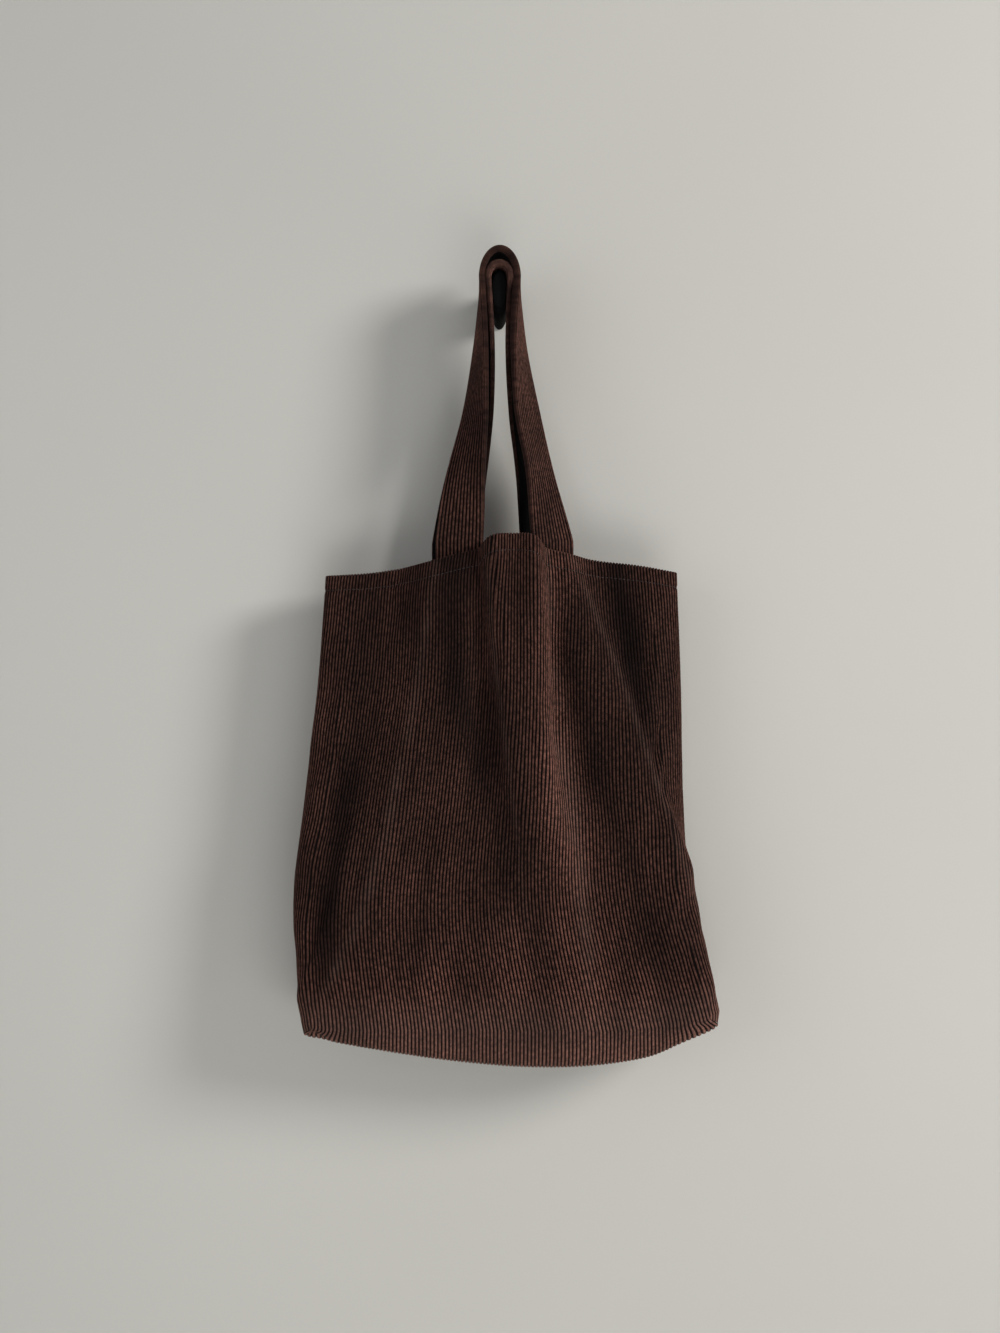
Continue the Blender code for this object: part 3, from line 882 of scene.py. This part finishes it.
def panel(name, side, look):
    """One panel of the body: the hem turned over the mouth's edge, the wall, and the half base under it."""
    places, depths, count = wale_places()
    below = wall_depths()
    corner = SIDE_WALES * len(WALE_COLUMNS)
    inner = slice(corner, len(places) - corner)
    wall, base = panel_middle(side, places, below, inner)
    out_wall, out_base = panel_normals(side, wall, base, inner)

    light = rubbed_and_highlit_share(wall) if side < 0 else np.zeros(wall.shape[:2])
    painted_lightness, painted_lightness_under = painted_light_share(side, wall, len(base))
    top = lip(wall, out_wall, depths)
    points = np.concatenate([top, wall_face(wall, out_wall, places, depths, below, light, corner)])
    base_points = base_face(base, out_base, places[inner], depths[inner])
    down = np.concatenate([-np.linspace(LIP_RUN, 0.001, len(top)), below])
    # Painted light on the pile towards the base, mixed in with the bands of rubbed pile and painted highlight
    painted_base_light = BASE_PAINTED_LIGHT * smoothstep(below, below[-1] - 0.035, below[-1])[:, None]
    rubbed_and_highlit = (np.zeros(top.shape[:2]), np.maximum(light, painted_base_light), np.full(base.shape[:2], BASE_PAINTED_LIGHT))
    # Painted light and shade on the pile, one value for each point
    painted_light = (np.tile(painted_lightness[0], (len(top), 1)), painted_lightness, painted_lightness_under[:, inner])
    made = piece(
        name,
        in_one((points, base_points), 3),
        side_faces(side, points, base, inner),
        look,
        uv=side_uv(count, down, len(base), inner) + (0.0, 40.0 * side),
        values={"rubbed_and_highlit": in_one(rubbed_and_highlit), "painted_light": in_one(painted_light)},
    )
    return made, wall, out_wall


def edge_fade(places, reach=0.03):
    """0 at both ends of a row of places, 1 from this share of its length inwards."""
    share = (places - places[0]) / (places[-1] - places[0])
    return smoothstep(np.minimum(share, 1 - share), 0.0, reach)


def edge_ramp(places, start=0.0):
    """0 at a seam, 1 from SEAM_ROLL inwards."""
    length = BASE_LENGTH + BASE_DEPTH
    share = np.minimum(places - start, 1 - start - places)
    return np.sqrt(np.clip(share * length / SEAM_ROLL, 0.0, 1.0))


def make_room(side, wall, depth, tail):
    """Moves a lining's wall inwards, off one of the ends of a handle."""
    x, y, twist, half_width = tail
    beside = wall[..., 0] - x
    limit = side * y + side * math.tan(twist) * beside - STRAP_WHOLE / 2 - TAIL_ROOM
    near = 1 - smoothstep(np.abs(beside), half_width, half_width + TAIL_ROOM_FADE)
    high = 1 - smoothstep(depth, TAIL_DEPTH + 0.006, TAIL_DEPTH + 0.030)[:, None]
    wall[..., 1] -= side * np.maximum(side * wall[..., 1] - limit, 0.0) * near * high


def lining(name, side, look, tails):
    """The black lining, sewn in behind the hem and passing inside the ends of the straps."""
    places = np.linspace(0.0, 1.0, LINING_COLUMNS + 1)
    below_hem = np.linspace(HEM_DEPTH, MOUTH_Z - BASE_CORNER_Z, LINING_ROWS)
    depth = np.concatenate([[0.0016, 0.004, 0.008], below_hem])
    deep = smoothstep(depth, 0.0, 0.05)
    sewn = SHELL_THICKNESS / 2 + LINING_THICKNESS / 2 + CLEARANCE
    inset = sewn + (LINING_INSET - sewn) * deep
    fold_share = 1.0 - (1.0 - LINING_FOLD_SHARE) * deep
    wall = wall_surface(side, depth / (MOUTH_Z - BASE_CORNER_Z), places, inset, fold_share)
    for tail in tails:
        make_room(side, wall, depth, tail)
    out = side * normals(wall)
    ripple = LINING_RIPPLE * waves(31 + side, wall * (1.0, 1.0, 0.5), LINING_RIPPLE_LENGTH)
    ripple = ripple * edge_fade(places, 0.05) * deep[:, None]
    wall = wall - out * np.abs(ripple)[..., None]
    corner = round(LINING_COLUMNS * corner_share())
    base = base_surface(side, wall, corner, BASE_ROWS)
    inner = slice(corner, wall.shape[1] - corner)
    across = places * (BASE_LENGTH + BASE_DEPTH) / WALE_PITCH
    made = piece(
        name,
        in_one((wall, base), 3),
        side_faces(side, wall, base, inner),
        look,
        uv=side_uv(across, depth, len(base), inner),
    )
    thick = made.modifiers.new("thickness", "SOLIDIFY")
    thick.thickness = LINING_THICKNESS
    thick.offset = 0.0
    return made


# --- handles ---

def tail_y(handle, end):
    """Where a strap's end lies in the mouth: against the inside of the panel all across its width."""
    side = handle["side"]
    twist = math.radians(handle[end + "_twist"][0])
    lean = math.tan(twist) * (-1 if end == "left" else 1)
    across = np.linspace(-0.5, 0.5, 9) * STRAP_WIDTH * math.cos(twist)
    room = []
    for t in (0.0, TAIL_DEPTH / (MOUTH_Z - BASE_CORNER_Z)):
        outline = section(side, t, 0.0, steps=600)
        y = np.interp(handle[end + "_x"][0] + across, outline[:, 0], outline[:, 1])
        room.append(side * (y - lean * across))
    return side * (np.min(room) - SHELL_THICKNESS / 2 - TAIL_EASE - STRAP_WHOLE / 2 / math.cos(twist))


def leg_line(handle, end):
    """The middle line and twist of one leg of a handle, from its end in the mouth up to the arch."""
    leg = np.linspace(0.0, 1.0, LEG_ROWS)
    leg_z = TAIL_TOP_Z + (handle["spring_z"] - TAIL_TOP_Z) * leg
    foot_y = tail_y(handle, end)
    line = np.column_stack([track(handle[end + "_x"], leg), foot_y * (1 - leg), leg_z])
    tail_z = np.linspace(TAIL_TOP_Z - TAIL_DEPTH, TAIL_TOP_Z, TAIL_ROWS + 1)[:-1]
    tail = np.column_stack([np.full((TAIL_ROWS, 2), (line[0, 0], foot_y)), tail_z])
    twist = track(handle[end + "_twist"], leg)
    return np.vstack([tail, line]), np.concatenate([np.full(TAIL_ROWS, twist[0]), twist])


def handle_line(handle):
    """The middle line of a strap from its left end over the hook to its right end, with its twist."""
    left, left_twist = leg_line(handle, "left")
    right, right_twist = leg_line(handle, "right")
    middle_x = (left[-1, 0] + right[-1, 0]) / 2
    radius_x = (right[-1, 0] - left[-1, 0]) / 2
    rise = handle["top_z"] - handle["spring_z"]
    turn = np.linspace(math.pi, 0.0, ARCH_ROWS + 1)[1:-1]
    arch_z = handle["spring_z"] + rise * np.sin(turn)
    arch = np.column_stack([middle_x + radius_x * np.cos(turn), np.zeros(len(turn)), arch_z])
    twist = np.concatenate([left_twist, np.full(len(turn), 90.0), 180.0 - right_twist[::-1]])
    return np.vstack([left, arch, right[::-1]]), np.radians(twist)


def strap_frame(line, twist):
    """Unit vectors at each point of a strap's line: across it, and out of its outer side or its inner one."""
    tangent = np.gradient(line, axis=0)
    tangent /= np.linalg.norm(tangent, axis=1, keepdims=True)
    across = np.column_stack([np.cos(twist), -np.sin(twist), np.zeros(len(twist))])
    across -= tangent * (across * tangent).sum(axis=1, keepdims=True)
    across /= np.linalg.norm(across, axis=1, keepdims=True)
    return across, np.cross(across, tangent)


def swept(name, line, across, out, places, heights, look, uv_place, painted_light=1.0):
    """A closed strip: at each point of the line, a loop of these places across it and heights out of it."""
    rings = line[:, None] + across[:, None] * places[None, :, None] + out[:, None] * heights[..., None]
    rows, columns = rings.shape[:2]
    grid = numbered(rows, columns)
    around = np.hstack([grid, grid[:, :1]])
    steps = np.linalg.norm(np.diff(line, axis=0), axis=1)
    run = np.concatenate([[0.0], np.cumsum(steps)]) / WALE_PITCH
    uv = np.stack(np.broadcast_arrays(uv_place, run[:, None]), axis=-1).reshape(-1, 2)
    caps = [grid[0].tolist(), grid[-1, ::-1].tolist()]
    painted_light = (painted_light * (1 + 0.12 * waves(61, rings, 0.03))).reshape(-1)
    return piece(name, rings.reshape(-1, 3), quads(around), look, uv=uv, values={"painted_light": painted_light}, caps=caps)


def nest_bulge(handle, line):
    """How much further a handle reaches inwards near the hook, where the two loops press together."""
    bulge = np.interp(line[:, 0], (-NEST_HALF_WIDTH, NEST_HALF_WIDTH), handle["nest"])
    return smoothstep(line[:, 2], *NEST_HEIGHTS) * bulge


def strap_outside():
    """Where the points across a strap's outer side stand, counted in wales, and how deep below its crests."""
    part, depth = np.array(WALE_COLUMNS).T
    place = np.append((np.arange(STRAP_WALES)[:, None] + part).reshape(-1), STRAP_WALES)
    deep = np.append(np.tile(depth, STRAP_WALES), 1.0) * STRAP_WALE_DEPTH
    for seam in (1.0, STRAP_WALES - 1.0):
        deep += STRAP_SEAM_DENT * np.exp(-(((place - seam) / STRAP_SEAM_WIDTH) ** 2))
    deep[[0, -1]] = STRAP_THICKNESS * 0.6
    return place, deep


def strap_inside(handle):
    """Places across a strap's inner side, their heights, and which are on the edges folded round the tape."""
    turned = handle["tape_margin"] - TAPE_GAP
    low, lowest = STRAP_WHOLE / 2 - STRAP_THICKNESS, -STRAP_WHOLE / 2
    half_places = STRAP_WIDTH / 2 - turned * np.array([0.2, 0.8, 1.0, 1.1])
    half_heights = np.array([lowest, lowest, (low + lowest) / 2, low])
    places = np.concatenate([half_places, [0.0], -half_places[::-1]])
    heights = np.concatenate([half_heights, [low], half_heights[::-1]])
    return places, heights, heights == lowest


def strap(name, handle, look):
    """The corduroy strip of a handle, with its own wales, a seam near each edge and its edges folded in."""
    line, twist = handle_line(handle)
    across, out = strap_frame(line, twist)
    outward = -handle["side"]
    place, deep = strap_outside()
    inner_places, inner_heights, folded = strap_inside(handle)
    worn = 1 + 0.15 * waves(41, line, 0.02)[:, None]
    loop_rise = handle["loop_rise"] * smoothstep(line[:, 2], *LOOP_RISE_HEIGHTS)
    top = STRAP_WHOLE / 2 - deep * worn + loop_rise[:, None]
    under = inner_heights - nest_bulge(handle, line)[:, None] * folded
    heights = np.concatenate([top, under], axis=1) * outward
    places = np.concatenate([(place / STRAP_WALES - 0.5) * STRAP_WIDTH, inner_places])
    uv_place = np.concatenate([place, (inner_places / STRAP_WIDTH + 0.5) * STRAP_WALES])
    on_edge = np.abs(places) > STRAP_WIDTH / 2 - 1.2 * (handle["tape_margin"] - TAPE_GAP)
    on_edge[1 : len(place) - 1] = False
    uv_place[on_edge] = np.where(places[on_edge] < 0, 0.5, STRAP_WALES - 0.5)
    # The straps' faces get an even level of painted light, and their folded edges get painted shade
    painted_light = np.where(on_edge, EDGE_PAINTED_SHADE, STRAP_PAINTED_LIGHT)
    if outward < 0:
        places, heights, uv_place, painted_light = places[::-1], heights[:, ::-1], uv_place[::-1], painted_light[::-1]
    made = swept(name, line, across, out, places, heights, look, uv_place, painted_light)
    return made, line, across, out * outward


def backing(name, handle, look):
    """The black cotton tape sewn to the inner side of a handle, from end to end."""
    line, twist = handle_line(handle)
    across, out = strap_frame(line, twist)
    sign = handle["side"]
    width = STRAP_WIDTH - 2 * handle["tape_margin"]
    s = np.linspace(-0.5, 0.5, 9) * width
    places = np.concatenate([s, s[::-1]])
    outer = np.full(9, STRAP_WHOLE / 2)
    outer[[0, -1]] -= 0.0003
    inner = np.full(9, STRAP_WHOLE / 2 - BACKING_THICKNESS)
    heights = np.broadcast_to(np.concatenate([outer, inner]), (len(line), 18)) + 0.0
    heights[:, :9] += nest_bulge(handle, line)[:, None]
    heights = heights * sign
    uv_place = (places / STRAP_WIDTH + 0.5) * STRAP_WALES
    if sign < 0:
        places, heights, uv_place = places[::-1], heights[:, ::-1], uv_place[::-1]
    return swept(name, line, across, out, places, heights, look, uv_place)


# --- stitches ---

def stitches(name, runs, look):
    """Rows of lockstitches: each run is a path of points and the way out of the cloth at each."""
    points, faces = [], []
    for path, out in runs:
        steps = np.linalg.norm(np.diff(path, axis=0), axis=1)
        travelled = np.concatenate([[0.0], np.cumsum(steps)])
        count = int(travelled[-1] / (STITCH_LENGTH + STITCH_SPACE))
        for k in range(count):
            start = k * (STITCH_LENGTH + STITCH_SPACE)
            at = start + np.array([0.0, 0.12, 0.5, 0.88, 1.0]) * STITCH_LENGTH
            middle = np.column_stack([np.interp(at, travelled, path[:, axis]) for axis in range(3)])
            up = np.column_stack([np.interp(at, travelled, out[:, axis]) for axis in range(3)])
            lift = np.array([-0.35, 0.0, 0.1, 0.0, -0.35]) * THREAD_WIDTH
            size = np.array([0.35, 0.9, 1.0, 0.9, 0.35]) * THREAD_WIDTH / 2
            way = np.gradient(middle, axis=0)
            way /= np.linalg.norm(way, axis=1, keepdims=True)
            beside = np.cross(way, up)
            centre = middle + up * lift[:, None]
            ring = [
                centre + size[:, None] * (up * math.sin(angle) + beside * math.cos(angle))
                for angle in np.linspace(0, 2 * math.pi, 6, endpoint=False)
            ]
            grid = numbered(5, 6, len(points) * 30)
            faces.append(quads(np.hstack([grid, grid[:, :1]])))
            points.append(np.stack(ring, axis=1).reshape(-1, 3))
    return piece(name, np.concatenate(points), np.concatenate(faces), look)


def hem_run(wall, out):
    """The path of the hem's stitches on a panel."""
    path = wall[HEM_ROW] + out[HEM_ROW] * (SHELL_THICKNESS / 2 - HEM_DENT + THREAD_WIDTH * 0.3)
    return path[4:-4], out[HEM_ROW][4:-4]


def strap_runs(line, across, out):
    """The two paths of the stitches that hold a handle's strip to its backing."""
    edge = (0.5 - 1.0 / STRAP_WALES) * STRAP_WIDTH
    lift = STRAP_WHOLE / 2 - STRAP_WALE_DEPTH - STRAP_SEAM_DENT + THREAD_WIDTH * 0.45
    above = slice(TAIL_ROWS, -TAIL_ROWS)
    return [((line + across * edge * hand + out * lift)[above], out[above]) for hand in (-1, 1)]


def tack_runs(handle, end):
    """A box with a cross in it, sewn through the inner side of a strap's end."""
    twist = math.radians(handle[end + "_twist"][0])
    hand = 1 if end == "left" else -1
    near = np.array([math.cos(twist) * hand, -math.sin(twist), 0.0])
    inner = -handle["side"] * np.array([hand * math.sin(twist), math.cos(twist), 0.0])
    middle_z = TAIL_TOP_Z - TAIL_DEPTH + TACK_MARGIN + TACK_HEIGHT / 2
    middle = np.array([handle[end + "_x"][0], tail_y(handle, end), middle_z])
    middle = middle + inner * (STRAP_WHOLE / 2 + THREAD_WIDTH * 0.5)
    wide = near * (STRAP_WIDTH / 2 - TACK_MARGIN)
    tall = np.array([0.0, 0.0, TACK_HEIGHT / 2])
    corners = [middle - wide - tall, middle + wide - tall, middle + wide + tall, middle - wide + tall]
    order = ((0, 1), (1, 2), (2, 3), (3, 0), (0, 2), (1, 3))
    return [(np.array([corners[a], corners[b]]), np.array([inner, inner])) for a, b in order]


# --- the whole ---

def tail_places(handle):
    """Each end of a handle in the mouth, seen from above: its middle, its turn and its half width."""
    tails = []
    for end, hand in (("left", -1), ("right", 1)):
        twist = math.radians(handle[end + "_twist"][0]) * hand
        half_width = STRAP_WIDTH / 2 * math.cos(twist)
        tails.append((handle[end + "_x"][0], tail_y(handle, end), twist, half_width))
    return tails


def make_side(name, side, handle, looks):
    """The panel, hem stitches and lining of the front or the back."""
    cloth, wall, out = panel(name + "_corduroy", side, looks["corduroy"])
    stitch = stitches(name + "_hem_thread", [hem_run(wall, out)], looks["thread"])
    inside = lining(name + "_lining_cloth", side, looks["lining"], tail_places(handle))
    for made, slot, replaced in (
        (cloth, "corduroy", name + "_panel"),
        (stitch, "thread", name + "_hem_stitch"),
        (inside, "lining", name + "_lining"),
    ):
        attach(made, "bag")
        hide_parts(replaced)


def make_handle(name, handle, looks):
    cloth, line, across, out = strap(name + "_corduroy", handle, looks["corduroy_strap"])
    tape = backing(name + "_tape", handle, looks["backing"])
    seam = stitches(name + "_seam_thread", strap_runs(line, across, out), looks["thread"])
    for made, slot in ((cloth, "corduroy"), (tape, "backing"), (seam, "thread")):
        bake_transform(made)
    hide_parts(name + "_strap", name + "_tail_left", name + "_tail_right")
    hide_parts(name + "_backing")
    for end in ("left", "right"):
        tack = stitches(f"{name}_tack_thread_{end}", tack_runs(handle, end), looks["tack"])
        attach(tack, "bag")
        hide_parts(f"{name}_tack_{end}")


def make_stage():
    """A pale wall that is open from behind, a pale floor far below, and the peg."""
    wall_points = [(-4, WALL_Y, -2.6), (4, WALL_Y, -2.6), (4, WALL_Y, 3), (-4, WALL_Y, 3)]
    floor_points = [(-4, -4, FLOOR_Z), (4, -4, FLOOR_Z), (4, 4, FLOOR_Z), (-4, 4, FLOOR_Z)]
    wall_look = paint("wall_paint", (0.435, 0.425, 0.395), one_sided=True)
    wall = piece("backdrop", wall_points, [(0, 1, 2, 3)], wall_look)
    floor = piece("floor", floor_points, [(0, 1, 2, 3)], paint("floor_paint", (0.70, 0.69, 0.66)))
    peg()


def peg():
    """A plain dark peg of oval section in the wall, which fills the inner handle's loop. Its near-black paint
    is also painted shade for the hollow under the loop.
    """
    turn = np.linspace(0.0, 2 * math.pi, 24, endpoint=False)
    ring = np.column_stack([np.cos(turn), np.zeros(24), np.sin(turn)])
    centre = np.array([PEG_X, 0.0, PEG_TOP_Z - PEG_HEIGHT / 2])
    ring = ring * (PEG_WIDTH / 2, 0.0, PEG_HEIGHT / 2)
    stations = ((WALL_Y, 1.0), (PEG_END_Y, 1.0), (PEG_END_Y - 0.001, 0.8), (PEG_END_Y - 0.0012, 0.02))
    rings = np.array([centre + ring * size + (0.0, y, 0.0) for y, size in stations])
    grid = numbered(4, 24)
    faces = quads(np.hstack([grid, grid[:, :1]]))
    return piece("peg", rings.reshape(-1, 3), faces, paint("peg_painted_shade", (0.0018, 0.0016, 0.0016)))


def area_light(name, place, target, size, power, colour):
    light = bpy.data.lights.new(name, "AREA")
    light.shape = "DISK"
    light.size = size
    light.energy = power
    light.color = colour
    lamp = bpy.data.objects.new(name, light)
    lamp.location = place
    aim = np.array(target) - np.array(place)
    lamp.rotation_mode = "QUATERNION"
    lamp.rotation_quaternion = Vector(aim).to_track_quat("-Z", "Y")
    bpy.context.scene.collection.objects.link(lamp)
    return lamp


def make_light(back_pieces, stage_pieces):
    """Soft light from the upper right of the front, and a lamp behind that lights only the back's pieces."""
    middle = (0.0, 0.0, -0.32)
    area_light("window", (2.1, -1.5, 0.7), middle, 0.9, 66.0, (1.0, 0.985, 0.96))
    area_light("fill", (-1.6, -1.6, -0.1), middle, 1.6, 9.0, (0.93, 0.96, 1.0))
    area_light("low", (0.3, -1.3, -1.1), middle, 1.0, 9.0, (0.97, 0.98, 1.0))
    behind = area_light("behind", (0.6, 2.2, 0.5), middle, 2.0, 60.0, (1.0, 1.0, 1.0))
    lit = bpy.data.collections.new("lit_from_behind")
    for made in back_pieces:
        lit.objects.link(made)
    behind.light_linking.receiver_collection = lit
    blockers = bpy.data.collections.new("shade_from_behind")
    for made in stage_pieces:
        blockers.objects.link(made)
    behind.light_linking.blocker_collection = blockers
    for entry in blockers.collection_objects:
        entry.light_linking.link_state = "EXCLUDE"
    world = bpy.data.worlds.new("room")
    bpy.context.scene.world = world
    world.use_nodes = True
    background = world.node_tree.nodes["Background"]
    background.inputs["Color"].default_value = (0.90, 0.92, 0.95, 1.0)
    background.inputs["Strength"].default_value = 0.45


def make_camera():
    camera = bpy.data.objects.new("camera", bpy.data.cameras.new("camera"))
    bpy.context.scene.collection.objects.link(camera)
    camera.data.lens = camera.data.sensor_width * CAMERA_DISTANCE / PICTURE_HEIGHT
    camera.location = (0.0, PICTURE_PLANE_Y - CAMERA_DISTANCE, PICTURE_MIDDLE_Z)
    camera.rotation_euler = (math.pi / 2, 0.0, 0.0)
    bpy.context.scene.camera = camera


def main():
    make_camera()
    bpy.context.scene.view_settings.view_transform = "Standard"
    looks = {
        "corduroy": corduroy("corduroy"),
        "corduroy_strap": corduroy("strap_corduroy"),
        "lining": cotton("lining_cotton"),
        "backing": cotton("tape_cotton", (0.0020, 0.0017, 0.0017, 1.0)),
        "thread": thread("brown_thread", (0.011, 0.0058, 0.0048)),
        "tack": thread("black_thread", (0.006, 0.005, 0.005)),
    }
    make_side("front", -1, FRONT_HANDLE, looks)
    make_side("back", 1, REAR_HANDLE, looks)
    make_handle("front_handle", FRONT_HANDLE, looks)
    make_handle("rear_handle", REAR_HANDLE, looks)
    make_stage()
    names = ("back_corduroy", "back_hem_thread", "rear_handle_corduroy")
    make_light([bpy.data.objects[name] for name in names], [bpy.data.objects["backdrop"]])


main()
